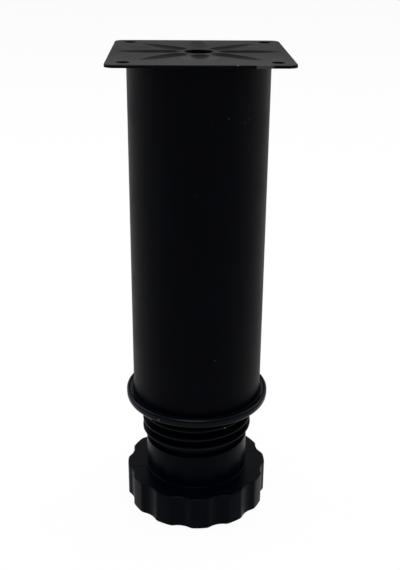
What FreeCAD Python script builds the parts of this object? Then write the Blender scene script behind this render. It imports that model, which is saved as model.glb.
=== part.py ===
"""Adjustable cabinet leg: a pressed plate welded on a round tube, with a screw foot in its lower end.

Millimetres, +Z up. The origin is on the leg's axis at floor level, with the foot standing out as pictured.
"""
import FreeCAD
import Part
import math
import os

# Whole leg
closed_height = 150.0
foot_standout = 32.0

# Mounting plate, pressed from thin sheet
plate_side = 62.0
plate_thickness = 1.0
plate_corner_radius = 3.5
plate_edge_radius = 0.3
screw_hole_spacing = 50.0
screw_hole_diameter = 4.5
centre_hole_diameter = 10.0

# Star of grooves that stiffens the plate, each deepest near the centre hole and tapering outwards
groove_count = 8
groove_inner_radius = 6.5
groove_deep_radius = 11.0
groove_edge_margin = 2.0
groove_hole_margin = 4.0
groove_depth = 0.9
groove_width = 7.0

# Tube, and the weld tacks that hold the plate on it, three on each of two sides
tube_diameter = 50.8
tube_wall = 1.2
weld_gap = 0.05
tack_radius = 1.8
tack_angles = (45.0, 90.0, 135.0, 225.0, 270.0, 315.0)

# Threaded insert, pressed into the tube's lower end up to its flange
flange_overhang = 2.85
flange_height = 3.8
flange_seat_depth = 0.6
flange_rim_width = 1.2
flange_rim_chamfer = 0.45
flange_edge_radius = 1.5
flange_line_height = 2.95
flange_line_depth = 0.3
sleeve_wall = 1.5
sleeve_length = 22.0
sleeve_lead = 0.8
crush_rib_count = 12
crush_rib_height = 0.35
crush_rib_width = 1.2
press_fit_gap = 0.05

# Coarse moulded thread, right-handed
thread_pitch = 4.0
thread_depth = 3.2
thread_crest_width = 0.5
thread_flank_angle = 12.0
thread_turns = 8.0
thread_clearance = 0.3
thread_root_overlap = 0.5
thread_start_angle = 88.0
thread_start_rise = 16.8

# Screw foot, one moulding
base_overhang = 0.35
base_height = 14.0
base_edge_chamfer = 0.4
base_floor = 3.0
flute_count = 12
flute_depth = 1.25
flute_radius = 8.3
flute_edge_radius = 3.0
lobe_turn = 1.7
neck_step = 1.7
neck_drop = 4.8
neck_flare = 0.15
stem_wall = 2.4
stem_top_land = 1.5
stem_chamfer = 0.6

# Glide disc, snapped into the foot's underside by its stud
glide_margin = 4.35
glide_thickness = 2.0
glide_proud = 0.5
glide_clearance = 0.3
glide_chamfer = 0.4
stud_diameter = 8.0
stud_length = 1.6

UP = FreeCAD.Vector(0, 0, 1)
ORIGIN = FreeCAD.Vector(0, 0, 0)

# Heights that follow from the sizes above
base_bottom = glide_proud
base_top = base_bottom + base_height
flange_bottom = base_top + foot_standout
flange_top = flange_bottom + flange_height
tube_bottom = flange_top - flange_seat_depth
plate_top = closed_height + foot_standout
plate_bottom = plate_top - plate_thickness
sleeve_top = tube_bottom + sleeve_length
ridge_start = base_top + thread_start_rise
stem_top = ridge_start + thread_turns * thread_pitch + stem_top_land

# Radii that follow from the sizes above, from the tube inwards and outwards
tube_outer = tube_diameter / 2
tube_inner = tube_outer - tube_wall
sleeve_outer = tube_inner - press_fit_gap - crush_rib_height
insert_bore = sleeve_outer - sleeve_wall
thread_crest = insert_bore - thread_clearance
thread_root = thread_crest - thread_depth
neck_radius = thread_root + neck_step
insert_crest = neck_radius + thread_clearance
flange_radius = tube_outer + flange_overhang
base_radius = flange_radius + base_overhang
glide_radius = base_radius - flute_depth - glide_margin
flank_angle = math.radians(thread_flank_angle)

# Places on the plate that follow from the sizes above
hole_offset = screw_hole_spacing / 2
side_reach = plate_side / 2 - groove_edge_margin
corner_reach = math.hypot(hole_offset, hole_offset) - screw_hole_diameter / 2 - groove_hole_margin


def point(x, y, z):
    return FreeCAD.Vector(x, y, z)


def cylinder(radius, bottom, top):
    return Part.makeCylinder(radius, top - bottom, point(0, 0, bottom))


def level_edges(solid, height):
    """The edges of a solid that lie flat at one height."""
    edges = []
    for edge in solid.Edges:
        heights = [vertex.Z for vertex in edge.Vertexes] + [edge.CenterOfMass.z]
        if max(abs(value - height) for value in heights) < 0.001:
            edges.append(edge)
    return edges


def upright_edges(solid):
    return [edge for edge in solid.Edges if abs(edge.tangentAt(edge.FirstParameter).z) > 0.99]


def section_wire(corners):
    """A closed outline in the XZ plane from (radius, height) pairs."""
    points = [point(radius, 0, height) for radius, height in corners]
    return Part.makePolygon(points + points[:1])


def line(start, end):
    return Part.LineSegment(point(start[0], 0, start[1]), point(end[0], 0, end[1])).toShape()


def arc(start, middle, end):
    points = [point(radius, 0, height) for radius, height in (start, middle, end)]
    return Part.Arc(*points).toShape()


def around_axis(solid, count):
    """Evenly turned copies of a solid about the leg's axis."""
    copies = []
    for index in range(count):
        turned = solid.copy()
        turned.rotate(ORIGIN, UP, 360 / count * index)
        copies.append(turned)
    return copies


def helical_sweep(corners, turns, height):
    """A section in (radius, height) pairs, swept along the thread from its start angle at this height."""
    radius = max(corner[0] for corner in corners)
    helix = Part.makeHelix(thread_pitch, thread_pitch * turns, radius)
    ridge = Part.Wire(helix).makePipeShell([section_wire(corners)], True, True)
    ridge.rotate(ORIGIN, UP, thread_start_angle)
    ridge.translate(point(0, 0, height))
    return ridge


def ridge_half_width(radius):
    """Half the width of the foot's thread ridge at a radius."""
    return thread_crest_width / 2 + (thread_crest - radius) * math.tan(flank_angle)


def insert_half_width(radius):
    """Half the width of the insert's ridge, which runs in the foot's groove with clearance on both flanks."""
    return thread_pitch / 2 - ridge_half_width(radius) - thread_clearance / math.cos(flank_angle)


def thread_section(inner, outer, half_width):
    """A thread section between two radii, as wide at each as half_width says."""
    return [
        (inner, -half_width(inner)),
        (outer, -half_width(outer)),
        (outer, half_width(outer)),
        (inner, half_width(inner)),
    ]


def groove_depth_at(radius, reach):
    """How deep the outer part of a groove of this reach is at a distance from the leg's axis."""
    length = reach - groove_deep_radius
    arc_radius = (length ** 2 + groove_depth ** 2) / (2 * groove_depth)
    return math.sqrt(arc_radius ** 2 - (radius - groove_deep_radius) ** 2) - arc_radius + groove_depth


def groove_half(end_radius):
    """The groove's keel from its deepest point, where it runs level, up to the plate's top at one end."""
    length = end_radius - groove_deep_radius
    arc_radius = (length ** 2 + groove_depth ** 2) / (2 * groove_depth)
    half_turn = math.asin(length / arc_radius) / 2
    middle_radius = groove_deep_radius + arc_radius * math.sin(half_turn)
    middle_height = plate_top - groove_depth + arc_radius * (1 - math.cos(half_turn))
    deepest = (groove_deep_radius, plate_top - groove_depth)
    return arc(deepest, (middle_radius, middle_height), (end_radius, plate_top))


def groove_cutter(reach):
    """A groove along +X below the plate's top, widest where it is deepest: a keel turned about a line."""
    axis_rise = ((groove_width / 2) ** 2 - groove_depth ** 2) / (2 * groove_depth)
    inner_end = (groove_inner_radius, plate_top)
    outer_end = (reach, plate_top)
    axis_inner = (groove_inner_radius, plate_top + axis_rise)
    axis_outer = (reach, plate_top + axis_rise)
    outline = [
        groove_half(groove_inner_radius),
        groove_half(reach),
        line(outer_end, axis_outer),
        line(axis_outer, axis_inner),
        line(axis_inner, inner_end),
    ]
    axis_point = point(groove_inner_radius, 0, plate_top + axis_rise)
    spindle = Part.Face(Part.Wire(outline)).revolve(axis_point, point(1, 0, 0), 360)
    below = Part.makeBox(plate_side, plate_side, plate_side, point(0, -plate_side / 2, plate_top - plate_side))
    return spindle.common(below)


def mounting_plate():
    """Pressed sheet: each groove in its top stands out as a rib below."""
    half = plate_side / 2
    sheet = Part.makeBox(plate_side, plate_side, plate_thickness, point(-half, -half, plate_bottom))
    sheet = sheet.makeFillet(plate_corner_radius, upright_edges(sheet))
    sheet = sheet.makeFillet(plate_edge_radius, level_edges(sheet, plate_top))

    corner_groove = groove_cutter(corner_reach)
    corner_groove.rotate(ORIGIN, UP, 360 / groove_count)
    grooves = around_axis(groove_cutter(side_reach), groove_count // 2)
    grooves += around_axis(corner_groove, groove_count // 2)
    ribs = [groove.translated(point(0, 0, -plate_thickness)) for groove in grooves]

    screw_hole = Part.makeCylinder(screw_hole_diameter / 2, plate_thickness,
                                   point(hole_offset, hole_offset, plate_bottom))
    centre_hole = cylinder(centre_hole_diameter / 2, plate_bottom, plate_top)
    cuts = grooves + around_axis(screw_hole, 4) + [centre_hole]
    return sheet.fuse(ribs).cut(cuts).removeSplitter()


def leg_tube():
    """A plain tube whose upper end meets the ribs under the plate."""
    rib_depth = max(groove_depth_at(tube_inner, side_reach), groove_depth_at(tube_inner, corner_reach))
    tube_top = plate_bottom - rib_depth - weld_gap
    return cylinder(tube_outer, tube_bottom, tube_top).cut(cylinder(tube_inner, tube_bottom, tube_top))


def weld_tacks(plate):
    """Lumps of weld in the corner between the tube and the plate."""
    lump = Part.makeSphere(tack_radius, point(tube_outer, 0, plate_bottom))
    below = cylinder(tube_outer + tack_radius, plate_bottom - tack_radius, plate_bottom)
    lump = lump.common(below).cut(cylinder(tube_outer, tube_bottom, plate_bottom))
    tacks = []
    for angle in tack_angles:
        tack = lump.copy()
        tack.rotate(ORIGIN, UP, angle)
        tacks += tack.cut(plate).Solids
    return Part.makeCompound(tacks)


def insert_body():
    """The flange and sleeve, turned from one outline: a rounded flange with a fine line under its rim."""
    rim_inner = flange_radius - flange_rim_width
    rim_side = flange_top - flange_rim_chamfer
    rim_top_outer = (flange_radius - flange_rim_chamfer, flange_top)
    rim_top_inner = (rim_inner + flange_rim_chamfer, flange_top)
    line_height = flange_bottom + flange_line_height
    line_low = (flange_radius, line_height - flange_line_depth)
    line_deep = (flange_radius - flange_line_depth, line_height)
    line_high = (flange_radius, line_height + flange_line_depth)
    corner_cut = flange_edge_radius * (1 - math.sqrt(0.5))
    edge_low = (flange_radius - flange_edge_radius, flange_bottom)
    edge_middle = (flange_radius - corner_cut, flange_bottom + corner_cut)
    edge_high = (flange_radius, flange_bottom + flange_edge_radius)
    sleeve_shoulder = (sleeve_outer, sleeve_top - sleeve_lead)
    sleeve_end = (sleeve_outer - sleeve_lead, sleeve_top)
    outline = [
        line((insert_bore, flange_bottom), edge_low),
        arc(edge_low, edge_middle, edge_high),
        line(edge_high, line_low),
        line(line_low, line_deep),
        line(line_deep, line_high),
        line(line_high, (flange_radius, rim_side)),
        line((flange_radius, rim_side), rim_top_outer),
        line(rim_top_outer, rim_top_inner),
        line(rim_top_inner, (rim_inner, rim_side)),
        line((rim_inner, rim_side), (tube_outer, tube_bottom)),
        line((tube_outer, tube_bottom), (sleeve_outer, tube_bottom)),
        line((sleeve_outer, tube_bottom), sleeve_shoulder),
        line(sleeve_shoulder, sleeve_end),
        line(sleeve_end, (insert_bore, sleeve_top)),
        line((insert_bore, sleeve_top), (insert_bore, flange_bottom)),
    ]
    return Part.Face(Part.Wire(outline)).revolve(ORIGIN, UP, 360)


def threaded_insert():
    """One moulding: flange, sleeve with crush ribs that grip the tube, and the inner thread."""
    rib_length = sleeve_length - 2 * sleeve_lead
    rib = Part.makeBox(crush_rib_height + sleeve_wall / 2, crush_rib_width, rib_length,
                       point(sleeve_outer - sleeve_wall / 2, -crush_rib_width / 2, tube_bottom))
    rib = rib.common(cylinder(tube_inner - press_fit_gap, tube_bottom, sleeve_top))
    body = insert_body().fuse(around_axis(rib, crush_rib_count))

    section = thread_section(insert_crest, insert_bore + thread_root_overlap, insert_half_width)
    first_turn = math.ceil((flange_bottom - ridge_start) / thread_pitch) + 0.5
    start = ridge_start + first_turn * thread_pitch
    room = sleeve_top - sleeve_lead - thread_pitch / 2 - start
    turns = math.floor(2 * room / thread_pitch) / 2
    return body.fuse(helical_sweep(section, turns, start)).removeSplitter()


def fluted_base():
    base = cylinder(base_radius, base_bottom, base_top)
    flute_centre = base_radius - flute_depth + flute_radius
    flute = Part.makeCylinder(flute_radius, base_height, point(flute_centre, 0, base_bottom))
    flute.rotate(ORIGIN, UP, lobe_turn + 180 / flute_count)
    base = base.cut(around_axis(flute, flute_count))
    corners = [edge for edge in upright_edges(base) if edge.Length > base_height / 2]
    base = base.makeFillet(flute_edge_radius, corners)
    return base.makeChamfer(base_edge_chamfer, level_edges(base, base_top) + level_edges(base, base_bottom))


def threaded_stem():
    """Core, thread ridge and neck; the neck's top edge falls away below the ridge's first turn."""
    bottom = base_top - base_edge_chamfer
    core = cylinder(thread_root, bottom, stem_top)
    core = core.makeChamfer(stem_chamfer, level_edges(core, stem_top))
    ridge_section = thread_section(thread_root - thread_root_overlap, thread_crest, ridge_half_width)
    ridge = helical_sweep(ridge_section, thread_turns, ridge_start)
    run_out_inner = thread_root - thread_root_overlap
    run_out_outer = neck_radius + thread_root_overlap
    run_out_top = thread_pitch - thread_crest_width - neck_drop
    run_out_section = [
        (run_out_inner, -neck_drop),
        (run_out_outer, -neck_drop),
        (run_out_outer, run_out_top),
        (run_out_inner, run_out_top),
    ]
    run_out = helical_sweep(run_out_section, 1, ridge_start)
    neck = cylinder(neck_radius, bottom, ridge_start - thread_crest_width).cut(run_out)
    flare = Part.makeCone(neck_radius + neck_flare, neck_radius, neck_flare, point(0, 0, base_top))
    return core.fuse(ridge).fuse(neck).fuse(flare)


def screw_foot():
    """One moulding: a fluted base, a plain neck and a hollow threaded stem."""
    foot = fluted_base().fuse(threaded_stem())
    recess_top = glide_thickness + glide_clearance
    socket_top = recess_top + stud_length
    recess = cylinder(glide_radius + glide_clearance, base_bottom, recess_top)
    socket = cylinder(stud_diameter / 2 + glide_clearance, recess_top, socket_top)
    hollow = cylinder(thread_root - stem_wall, socket_top + base_floor, stem_top)
    return foot.cut([hollow, recess, socket]).removeSplitter()


def floor_glide():
    disc = cylinder(glide_radius, 0, glide_thickness)
    disc = disc.makeChamfer(glide_chamfer, level_edges(disc, 0))
    stud = cylinder(stud_diameter / 2, 0, glide_thickness + stud_length)
    return disc.fuse(stud).removeSplitter()


def main():
    os.makedirs("parts", exist_ok=True)
    plate = mounting_plate()
    pieces = {
        "mounting_plate": plate,
        "leg_tube": leg_tube(),
        "weld_tacks": weld_tacks(plate),
        "threaded_insert": threaded_insert(),
        "screw_foot": screw_foot(),
        "floor_glide": floor_glide(),
    }
    for name, shape in pieces.items():
        shape.exportStep(f"parts/{name}.step")
        size = shape.optimalBoundingBox(False, False)
        print(f"{name}: {len(shape.Solids)} solid, valid {shape.isValid()}, volume {shape.Volume:.1f}, "
              f"z {size.ZMin:.2f} to {size.ZMax:.2f}")


main()
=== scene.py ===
"""Looks of the adjustable cabinet leg: powder-coated steel, black plastic and a white floor.

Metres, +Z up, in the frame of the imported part.
Sizes of finishes and marks are written in millimetres times MM.
"""
import math

import bpy
from mathutils import Matrix, Vector


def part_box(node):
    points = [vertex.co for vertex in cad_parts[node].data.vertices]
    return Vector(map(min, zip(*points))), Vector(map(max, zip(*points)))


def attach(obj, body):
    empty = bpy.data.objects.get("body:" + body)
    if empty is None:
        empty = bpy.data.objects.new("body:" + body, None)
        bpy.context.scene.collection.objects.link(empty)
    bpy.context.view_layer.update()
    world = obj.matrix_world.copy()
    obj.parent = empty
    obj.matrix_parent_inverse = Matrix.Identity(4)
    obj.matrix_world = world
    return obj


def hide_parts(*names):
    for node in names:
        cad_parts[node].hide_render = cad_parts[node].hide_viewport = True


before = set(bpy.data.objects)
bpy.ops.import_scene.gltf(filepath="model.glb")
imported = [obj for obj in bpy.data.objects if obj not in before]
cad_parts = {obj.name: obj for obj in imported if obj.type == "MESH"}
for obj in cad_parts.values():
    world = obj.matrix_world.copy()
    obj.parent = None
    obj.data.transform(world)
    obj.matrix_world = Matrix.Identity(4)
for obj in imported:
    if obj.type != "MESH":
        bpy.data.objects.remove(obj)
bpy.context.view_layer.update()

MM = 0.001

# Camera, fitted to the photograph's outlines
picture_width = 400
picture_height = 570
focal_length_pixels = 870.3
sensor_long_side = 36.0
camera_distance = 310.4 * MM
camera_rise = 42.35 * MM
camera_side_turn = 1.447
camera_pitch = 22.787
camera_yaw = 0.184
camera_roll = 0.457

# Studio
floor_side = 8.0
floor_white = 0.86
floor_glow = 0.95
world_grey = 0.33
world_white = 0.98
lamp_target = Vector((0, 0, 90 * MM))

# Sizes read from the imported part
plate_low, plate_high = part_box("mounting_plate")
tube_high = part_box("leg_tube")[1]
plate_top = plate_high.z
plate_front = plate_low.y
tube_top = tube_high.z
tube_radius = tube_high.x

# Parting line of the foot's mould, a fine ridge over the top and side of its base
parting_angle = 12.0
parting_width = 0.26 * MM
parting_height = 0.09 * MM
parting_inner = 21.5 * MM
parting_slack = 0.5 * MM
parting_least_normal = -0.1
base_top = 14.5 * MM
base_side = 26.5 * MM
merge_distance = 0.001 * MM

# Weld beads in the corner under the plate
bead_angles = (45, 90, 135, 225, 270, 315)
bead_length = 4.8 * MM
bead_width = 2.8 * MM
bead_height = 2.0 * MM
bead_segments = 20
bead_rings = 16
bead_offset = 0.5 * MM
bead_drop = 0.3 * MM
ripple = 0.93
unit_radius = 0.5
ring_slack = 0.001

# Powder coat: orange peel, fine grain, marks of handling and loose dust
peel_size = 0.9 * MM
peel_depth = 0.05 * MM
peel_roughness = 0.1
coat_grain_size = 0.25 * MM
coat_grain_depth = 0.025 * MM
handling_size = 14 * MM
handling_range = (0.45, 0.75)
handling_gain = 1.8
handling_roughness = 0.06
coat_dust_spacing = 6 * MM
coat_dust_radius = 0.2 * MM
coat_dust_level = 0.2

# Moulded plastic: flow marks along the piece, fine grain, scuffs and loose dust
flow_size = 6 * MM
flow_stretch = (1, 1, 0.25)
flow_depth = 0.06 * MM
flow_roughness = 0.12
moulding_grain_size = 0.3 * MM
moulding_grain_depth = 0.01 * MM
scuff_size = 2.5 * MM
scuff_range = (0.6, 0.8)
scuff_gain = 2
scuff_roughness = 0.08
moulding_dust_spacing = 5 * MM
moulding_dust_radius = 0.18 * MM
moulding_dust_level = 0.25

# Both finishes: noise, tint and loose dust
noise_middle = 0.5
green_share = 0.2
speck_core = 0.5
loose_dust_share = 0.08
loose_dust_cover = 0.4

# Marks on the leg
flange_line = 49.45 * MM
flange_line_half = 0.3 * MM
flange_line_soft = 0.05 * MM
flange_line_roughness = 0.6
worn_patch_start = 17.5 * MM
worn_patch_end = 23.0 * MM
worn_patch_depth = 0.5 * MM
worn_patch_soft = 0.15 * MM
# Top of the plate lighter towards its front: painted light, in dusty patches
front_light_and_dust_start = 2 * MM
patch_grain = 0.35 * MM
front_light_and_dust_least = 0.35
front_light_and_dust_thickness = 0.3 * MM
front_light_and_dust_cover = 0.45
settled_dust_cover = 0.8
dull_grey = 0.045
dust_and_glint_level = 0.2
plate_dust = (((-0.65, -12.96, 182.0), 0.35), ((11.5, -30.8, 182.0), 0.35))
tube_dust = (
    ((9.5, -23.6, 163.5), 0.24),
    ((15.2, -20.3, 161.5), 0.2),
    ((16.6, -19.2, 162.2), 0.2),
)
tube_dust_level = 0.07
faint_tube_dust = (
    ((4.0, -25.1, 162.5), 0.22),
    ((5.2, -24.9, 160.1), 0.18),
    ((8.0, -24.1, 158.3), 0.18),
    ((12.1, -22.3, 157.5), 0.2),
    ((-1.3, -25.4, 137.9), 0.24),
    ((-0.6, -25.4, 137.0), 0.16),
)
faint_tube_dust_level = 0.015
groove_dust_place = Vector((0, -17, 181.5)) * MM
groove_dust_radius = 8 * MM
# A pale speck on the insert's flange: a painted glint
insert_glint = (((-15.0, -23.9, 48.3), 0.3),)
foot_dust = (((10.5, -19.3, 41.6), 0.3),)
faint_foot_dust = (((-1.8, -22.9, 14.5), 0.25), ((-20.0, -18.2, 2.2), 0.4))
faint_foot_dust_level = 0.02
# Paler colour on the crests of the foot's thread: a painted highlight along the crest lines
crest_highlight_start = 21.1 * MM
crest_highlight_end = 21.9 * MM
crest_highlight_bottom = 26.5 * MM
crest_highlight_level = 0.0065
crest_highlight_blue = 0.3


class Value:
    """A shader socket. Arithmetic on it adds Math nodes to its finish."""

    def __init__(self, finish, socket):
        self.finish = finish
        self.socket = socket

    def __add__(self, other):
        return self.finish.math("ADD", self, other)

    def __radd__(self, other):
        return self.finish.math("ADD", other, self)

    def __sub__(self, other):
        return self.finish.math("SUBTRACT", self, other)

    def __rsub__(self, other):
        return self.finish.math("SUBTRACT", other, self)

    def __mul__(self, other):
        return self.finish.math("MULTIPLY", self, other)

    def __rmul__(self, other):
        return self.finish.math("MULTIPLY", other, self)

    def __lt__(self, other):
        return self.finish.math("LESS_THAN", self, other)

    def __gt__(self, other):
        return self.finish.math("GREATER_THAN", self, other)


class Shading:
    """A node tree with one shader, and the ways to add nodes to it."""

    def __init__(self, owner, shader):
        owner.use_nodes = True
        self.tree = owner.node_tree
        self.shader = self.tree.nodes[shader]

    def feed(self, socket, value):
        if isinstance(value, Value):
            self.tree.links.new(value.socket, socket)
        else:
            socket.default_value = value

    def node(self, kind, settings=None, sockets=None, output=0):
        """Add one node: its settings first, then the values or links of its sockets."""
        made = self.tree.nodes.new(kind)
        for name, value in (settings or {}).items():
            setattr(made, name, value)
        for name, value in (sockets or {}).items():
            self.feed(made.inputs[name], value)
        return Value(self, made.outputs[output])

    def math(self, operation, first, second):
        return self.node("ShaderNodeMath", {"operation": operation}, {0: first, 1: second})

    def fade(self, value, start, end):
        """0 where value is at start, 1 where it is at end, smooth between."""
        settings = {"interpolation_type": "SMOOTHSTEP"}
        sockets = {"Value": value, "From Min": start, "From Max": end}
        sockets.update({"To Min": 0.0, "To Max": 1.0})
        return self.node("ShaderNodeMapRange", settings, sockets)

    def mix(self, amount, first, second):
        """Blend two colours."""
        sockets = {0: amount, 6: first, 7: second}
        return self.node("ShaderNodeMix", {"data_type": "RGBA"}, sockets, output=2)

    def rays(self):
        """What a ray is: seen by the camera, mirrored or passing through."""
        kinds = ("Is Camera Ray", "Is Glossy Ray", "Is Transmission Ray")
        return [self.node("ShaderNodeLightPath", output=kind) for kind in kinds]


class Finish(Shading):
    """A material on one Principled shader, with the patterns that vary it over the surface."""

    def __init__(self, name, **constants):
        self.material = bpy.data.materials.new(name)
        super().__init__(self.material, "Principled BSDF")
        for socket, value in constants.items():
            self.shader.inputs[socket.replace("_", " ")].default_value = value
        self.place = self.node("ShaderNodeTexCoord", output="Object")
        self.colour = None
        self.roughness = None

    def stretched(self, scale):
        """The surface place with its axes scaled, for patterns that run one way."""
        return self.node("ShaderNodeMapping", None, {"Vector": self.place, "Scale": scale})

    def noise(self, size, detail=2.0, place=None):
        """Cloudy noise around 0.5, with features of this size."""
        sockets = {"Vector": place or self.place, "Scale": 1 / size, "Detail": detail}
        return self.node("ShaderNodeTexNoise", None, sockets)

    def specks(self, spacing, radius, share):
        """Small dots on this share of the cells of a loose pattern."""
        sockets = {"Vector": self.place, "Scale": 1 / spacing}
        distance = self.node("ShaderNodeTexVoronoi", None, sockets, output="Distance")
        chance = self.node("ShaderNodeTexVoronoi", None, sockets, output="Color")
        chance = self.node("ShaderNodeSeparateColor", None, {"Color": chance})
        dots = self.fade(distance, radius / spacing, speck_core * radius / spacing)
        return dots * (chance < share)

    def coordinates(self):
        sockets = {"Vector": self.place}
        return [self.node("ShaderNodeSeparateXYZ", None, sockets, axis) for axis in "XYZ"]

    def spot(self, centre, radius):
        """A round mark of this radius about a point."""
        settings = {"operation": "DISTANCE"}
        sockets = {0: self.place, 1: centre}
        distance = self.node("ShaderNodeVectorMath", settings, sockets, output="Value")
        return self.fade(distance, radius, speck_core * radius)

    def band(self, value, start, end, soft):
        """1 where value lies between start and end, with soft edges."""
        rise = self.fade(value, start - soft, start + soft)
        fall = self.fade(value, end + soft, end - soft)
        return rise * fall

    def cover(self, amount, colour):
        """Lay another colour over the finish, by this amount."""
        self.colour = self.mix(amount, self.colour, colour)

    def bump(self, height, depth, under=None):
        """A bump from a height pattern, this deep where the pattern goes from 0 to 1."""
        sockets = {"Height": height, "Distance": depth, "Strength": 1.0}
        if under:
            sockets["Normal"] = under
        return self.node("ShaderNodeBump", None, sockets)

    def surface(self, **sockets):
        for name, value in sockets.items():
            self.feed(self.shader.inputs[name.replace("_", " ")], value)


def grey(level, blue=0.0):
    """A near-neutral colour; blue raises its blue by that share, and its green by less."""
    return (level, level * (1 + green_share * blue), level * (1 + blue), 1.0)


def powder_coat(name, level, blue, roughness, specular):
    """Satin black powder coat: fine orange peel, a little dust and faint handling marks."""
    finish = Finish(name, IOR=1.45, Specular_IOR_Level=specular)
    peel = finish.noise(peel_size, detail=3.0)
    grain = finish.noise(coat_grain_size)
    handling = finish.fade(finish.noise(handling_size, detail=4.0), *handling_range)
    finish.colour = finish.mix(handling, grey(level, blue), grey(level * handling_gain, blue))
    dust = finish.specks(coat_dust_spacing, coat_dust_radius, loose_dust_share)
    finish.cover(dust * loose_dust_cover, grey(coat_dust_level))
    finish.roughness = (
        roughness + peel_roughness * (peel - noise_middle) + handling_roughness * handling
    )
    finish.surface(Normal=finish.bump(grain, coat_grain_depth, finish.bump(peel, peel_depth)))
    return finish


def moulded_plastic(name, level, blue, roughness, specular):
    """Moulded black plastic: semi-gloss, faint flow marks, dust in places."""
    finish = Finish(name, IOR=1.48, Specular_IOR_Level=specular)
    flow = finish.noise(flow_size, detail=3.0, place=finish.stretched(flow_stretch))
    grain = finish.noise(moulding_grain_size)
    scuff = finish.fade(finish.noise(scuff_size, detail=5.0), *scuff_range)
    finish.colour = finish.mix(scuff, grey(level, blue), grey(level * scuff_gain, blue / 2))
    dust = finish.specks(moulding_dust_spacing, moulding_dust_radius, loose_dust_share)
    finish.cover(dust * loose_dust_cover, grey(moulding_dust_level))
    finish.roughness = roughness + flow_roughness * (flow - noise_middle) + scuff_roughness * scuff
    finish.surface(Normal=finish.bump(grain, moulding_grain_depth, finish.bump(flow, flow_depth)))
    return finish


def mark_insert(finish):
    """Dull dirt in the fine line under the flange's rim."""
    height = finish.coordinates()[2]
    line = finish.band(
        height, flange_line - flange_line_half, flange_line + flange_line_half, flange_line_soft
    )
    finish.roughness = finish.roughness + flange_line_roughness * line


def paint_crest_highlights(finish):
    """Paler crests on the foot's thread: a painted highlight along the crest lines."""
    x, y, z = finish.coordinates()
    radius = finish.math("SQRT", x * x + y * y, 0.0)
    pale_mark = finish.fade(radius, crest_highlight_start, crest_highlight_end) * (z > crest_highlight_bottom)
    finish.cover(pale_mark, grey(crest_highlight_level, crest_highlight_blue))


def add_dust_and_glints(finish, specks, level=dust_and_glint_level):
    """Single pale specks of this brightness, each a point and a radius in millimetres: dust, and
    on the insert a painted glint.
    """
    for place, radius in specks:
        finish.cover(finish.spot(Vector(place) * MM, radius * MM), grey(level))


def mark_plate(finish):
    """Painted light on the plate's top, lighter towards its front and broken into dusty patches;
    dust in its front groove, and a rubbed patch on its edge.
    """
    x, y, z = finish.coordinates()
    # Painted light with dust: the top face grows lighter towards the front, in patches
    on_top = finish.fade(z, plate_top - front_light_and_dust_thickness, plate_top)
    front_light_and_dust = finish.fade(y, front_light_and_dust_start, plate_front) * on_top
    patches = finish.noise(patch_grain, detail=3.0)
    front_light_and_dust = front_light_and_dust * (front_light_and_dust_least + (1 - front_light_and_dust_least) * patches)
    finish.cover(front_light_and_dust * front_light_and_dust_cover, grey(dull_grey))
    settled = finish.spot(groove_dust_place, groove_dust_radius) * patches
    finish.cover(settled * settled_dust_cover, grey(dull_grey))
    pale_mark = finish.band(x, worn_patch_start, worn_patch_end, worn_patch_soft)
    finish.cover(pale_mark * (y < plate_front + worn_patch_depth), grey(dull_grey))


def join_pieces(pieces, name):
    """One object from several, as the last of them."""
    bpy.ops.object.select_all(action="DESELECT")
    for piece in pieces:
        piece.select_set(True)
    bpy.context.view_layer.objects.active = pieces[-1]
    bpy.ops.object.join()
    pieces[-1].name = name
    return pieces[-1]


def weld_bead(angle):
    """A short rippled bead, lying along the tube's edge at this angle."""
    bpy.ops.object.select_all(action="DESELECT")
    bpy.ops.mesh.primitive_uv_sphere_add(
        segments=bead_segments, ring_count=bead_rings, radius=unit_radius
    )
    bead = bpy.context.object
    bpy.ops.object.mode_set(mode="EDIT")
    for ring in range(2, bead_rings, 2):
        height = unit_radius * math.cos(math.pi * ring / bead_rings)
        bpy.ops.mesh.select_all(action="DESELECT")
        bpy.ops.object.mode_set(mode="OBJECT")
        for vertex in bead.data.vertices:
            vertex.select = abs(vertex.co.z - height) < ring_slack
        bpy.ops.object.mode_set(mode="EDIT")
        bpy.ops.transform.resize(value=(ripple, ripple, 1), center_override=(0, 0, height))
    bpy.ops.object.mode_set(mode="OBJECT")
    bead.rotation_euler = (math.radians(90), 0, 0)
    bpy.ops.object.transform_apply(location=False, rotation=True, scale=False)
    bead.scale = (bead_width, bead_length, bead_height)
    bpy.ops.object.transform_apply(location=False, rotation=False, scale=True)
    turn = math.radians(angle)
    radius = tube_radius + bead_offset
    bead.rotation_euler = (0, 0, turn)
    bead.location = (radius * math.cos(turn), radius * math.sin(turn), tube_top - bead_drop)
    bpy.ops.object.transform_apply(location=True, rotation=True, scale=False)
    bpy.ops.object.shade_smooth()
    return bead


def weld_beads(finish):
    """The beads that hold the plate on the tube, under the same coat as the tube."""
    beads = join_pieces([weld_bead(angle) for angle in bead_angles], "weld_beads")
    beads.data.materials.clear()
    beads.data.materials.append(finish.material)
    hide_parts("weld_tacks")
    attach(beads, "leg")


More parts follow.
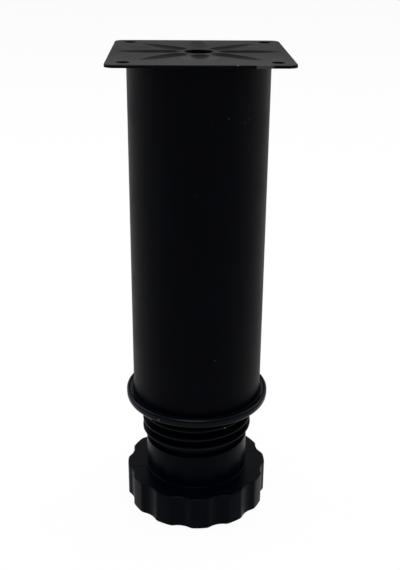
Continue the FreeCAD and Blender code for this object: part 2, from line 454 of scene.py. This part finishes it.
def parting_line(finish):
    """The fine ridge where the halves of the foot's mould met: a raised strip of its surface."""
    strip = bpy.data.objects.new("parting_line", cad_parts["screw_foot"].data.copy())
    bpy.context.scene.collection.objects.link(strip)
    bpy.ops.object.select_all(action="DESELECT")
    strip.select_set(True)
    bpy.context.view_layer.objects.active = strip
    turn = math.radians(parting_angle)
    along = Vector((math.cos(turn), math.sin(turn), 0))
    across = Vector((-math.sin(turn), math.cos(turn), 0))
    cuts = (
        (across * parting_width / 2, across),
        (-across * parting_width / 2, -across),
    )
    bpy.ops.object.mode_set(mode="EDIT")
    bpy.ops.mesh.select_all(action="SELECT")
    bpy.ops.mesh.remove_doubles(threshold=merge_distance)
    for place, outwards in cuts:
        bpy.ops.mesh.select_all(action="SELECT")
        bpy.ops.mesh.bisect(plane_co=place, plane_no=outwards, clear_outer=True)
    for side in (-1, 1):
        bpy.ops.mesh.select_all(action="SELECT")
        bpy.ops.mesh.bisect(plane_co=along * side * parting_inner, plane_no=along)
    bpy.ops.mesh.select_all(action="DESELECT")
    bpy.ops.object.mode_set(mode="OBJECT")
    for face in strip.data.polygons:
        reach = abs(face.center.dot(along))
        on_top = reach > parting_inner and face.center.z > base_top - parting_slack
        on_side = reach > base_side and face.normal.z > parting_least_normal
        face.select = not (on_top or on_side)
    bpy.ops.object.mode_set(mode="EDIT")
    bpy.ops.mesh.delete(type="FACE")
    bpy.ops.object.mode_set(mode="OBJECT")
    wall = strip.modifiers.new("wall", "SOLIDIFY")
    wall.thickness = parting_height
    wall.offset = 1
    bpy.ops.object.modifier_apply(modifier=wall.name)
    strip.data.materials.clear()
    strip.data.materials.append(finish.material)
    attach(strip, "foot")


def dress(node, finish):
    finish.surface(Base_Color=finish.colour, Roughness=finish.roughness)
    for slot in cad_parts[node].material_slots:
        slot.material = finish.material


def make_camera():
    """A camera that looks from the front and a little above, turned as the photograph is."""
    turn = Matrix.Rotation(-math.radians(camera_side_turn), 3, "Z")
    pitch = math.radians(camera_pitch)
    yaw = math.radians(camera_yaw)
    roll = math.radians(camera_roll)
    level = math.cos(pitch)
    forward = Vector((math.sin(yaw) * level, math.cos(yaw) * level, -math.sin(pitch)))
    level_right = Vector((math.cos(yaw), -math.sin(yaw), 0))
    level_up = level_right.cross(forward)
    right = level_right * math.cos(roll) + level_up * math.sin(roll)
    up = level_up * math.cos(roll) - level_right * math.sin(roll)
    axes = turn @ Matrix((right, up, -forward)).transposed()

    bpy.ops.object.camera_add()
    camera = bpy.context.object
    camera.name = "camera"
    camera.data.sensor_fit = "AUTO"
    camera.data.sensor_width = sensor_long_side
    camera.data.lens = focal_length_pixels * sensor_long_side / max(picture_width, picture_height)
    camera.data.clip_start = 10 * MM
    camera.data.clip_end = 50.0
    place = turn @ Vector((0, -camera_distance, 0)) + Vector((0, 0, plate_top + camera_rise))
    camera.matrix_world = Matrix.Translation(place) @ axes.to_4x4()
    bpy.context.scene.camera = camera


def make_floor():
    """A white floor with a soft shadow, as white in mirrored light as it is to the camera."""
    bpy.ops.mesh.primitive_plane_add(size=floor_side)
    floor = bpy.context.object
    floor.name = "floor"
    finish = Finish(
        "white_floor", Base_Color=grey(floor_white), Roughness=0.9, Specular_IOR_Level=0.0
    )
    seen, mirrored, through = finish.rays()
    white = finish.node("ShaderNodeEmission", None, {"Color": grey(1.0), "Strength": 1.0})
    lit = Value(finish, finish.shader.outputs["BSDF"])
    share = (seen + mirrored + through) * floor_glow
    mixed = finish.node("ShaderNodeMixShader", None, {0: share, 1: lit, 2: white})
    finish.feed(finish.tree.nodes["Material Output"].inputs["Surface"], mixed)
    floor.data.materials.append(finish.material)


def make_lights():
    """Soft studio light: an even grey world and four large lamps, the front one a little blue."""
    world = bpy.data.worlds.new("studio")
    bpy.context.scene.world = world
    surround = Shading(world, "Background")
    seen, mirrored, through = surround.rays()
    share = seen + mirrored + through
    colour = surround.mix(share, grey(world_grey), grey(world_white))
    surround.feed(surround.shader.inputs["Color"], colour)
    # Each lamp's name, place and size in metres, power in watts and colour
    lamps = (
        ("top_lamp", (0.1, 0.2, 1.3), 1.0, 11.0, (1.0, 1.0, 1.0)),
        ("front_lamp", (-0.1, -0.55, 1.1), 0.6, 4.5, (0.82, 0.91, 1.0)),
        ("left_lamp", (-1.1, 0.25, 0.6), 0.8, 4.5, (1.0, 1.0, 1.0)),
        ("right_lamp", (1.1, 0.2, 0.55), 0.8, 3.0, (1.0, 1.0, 1.0)),
    )
    for name, place, size, power, colour in lamps:
        bpy.ops.object.light_add(type="AREA", location=place)
        lamp = bpy.context.object
        lamp.name = name
        lamp.data.size = size
        lamp.data.energy = power
        lamp.data.color = colour
        lamp.rotation_euler = (lamp_target - Vector(place)).to_track_quat("-Z", "Y").to_euler()


bpy.ops.object.select_all(action="DESELECT")
bpy.context.scene.view_settings.view_transform = "Standard"
make_camera()
make_floor()
make_lights()

plate_coat = powder_coat("plate_coat", level=0.0015, blue=0.6, roughness=0.5, specular=0.024)
mark_plate(plate_coat)
add_dust_and_glints(plate_coat, plate_dust)
dress("mounting_plate", plate_coat)

tube_coat = powder_coat("tube_coat", level=0.0002, blue=4.5, roughness=0.42, specular=0.034)
add_dust_and_glints(tube_coat, tube_dust, tube_dust_level)
add_dust_and_glints(tube_coat, faint_tube_dust, faint_tube_dust_level)
dress("leg_tube", tube_coat)
weld_beads(tube_coat)

insert_plastic = moulded_plastic(
    "insert_plastic", level=0.0005, blue=5.5, roughness=0.24, specular=0.06
)
mark_insert(insert_plastic)
# Painted glint on the flange's face
add_dust_and_glints(insert_plastic, insert_glint)
dress("threaded_insert", insert_plastic)

foot_plastic = moulded_plastic(
    "foot_plastic", level=0.0004, blue=5.5, roughness=0.33, specular=0.029
)
# Painted highlight on the crests of the thread
paint_crest_highlights(foot_plastic)
add_dust_and_glints(foot_plastic, foot_dust)
add_dust_and_glints(foot_plastic, faint_foot_dust, faint_foot_dust_level)
dress("screw_foot", foot_plastic)
parting_line(foot_plastic)

glide_plastic = moulded_plastic("glide_plastic", level=0.03, blue=0.1, roughness=0.6, specular=0.3)
dress("floor_glide", glide_plastic)
